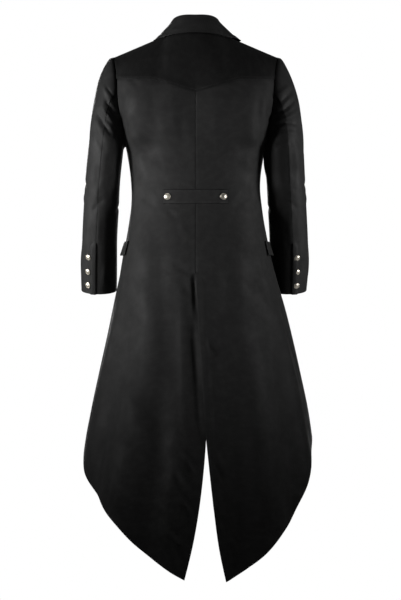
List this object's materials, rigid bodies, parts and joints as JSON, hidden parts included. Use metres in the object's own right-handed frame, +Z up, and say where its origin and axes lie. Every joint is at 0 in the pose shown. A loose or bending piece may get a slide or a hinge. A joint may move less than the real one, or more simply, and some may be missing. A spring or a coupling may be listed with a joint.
{
  "type": "tailcoat",
  "caption": "Long black tailcoat, filled out as if worn, with a pointed back yoke, half belt, centre vent and swallow tails.",
  "frame": {"origin": "middle of the neck at the height where the shoulder seams meet the collar, which is where the wearer carries the coat", "axes": "+Z up along the wearer, +X to the wearer's left, the wearer faces -Y"},
  "size_m": [0.6134, 0.4055, 1.4972],
  "materials": {
    "cloth": "matte black coating cloth with a soft sheen",
    "collar_cloth": "the same black cloth, softly pressed",
    "button_metal": "old silver, domed, darker round the rim"
  },
  "bodies": {
    "root": {"back_yoke": "cloth", "back_left": "cloth", "back_right": "cloth", "front_left": "cloth", "front_right": "cloth", "lapel_left": "cloth", "lapel_right": "cloth", "collar": "collar_cloth", "topsleeve_left": "cloth", "topsleeve_right": "cloth", "undersleeve_left": "cloth", "undersleeve_right": "cloth", "pocket_flap_left": "cloth", "pocket_flap_right": "cloth", "half_belt": "cloth", "belt_button_left": "button_metal", "belt_button_right": "button_metal", "cuff_button_left_1": "button_metal", "cuff_button_left_2": "button_metal", "cuff_button_left_3": "button_metal", "cuff_button_right_1": "button_metal", "cuff_button_right_2": "button_metal", "cuff_button_right_3": "button_metal"}
  },
  "joints": []
}
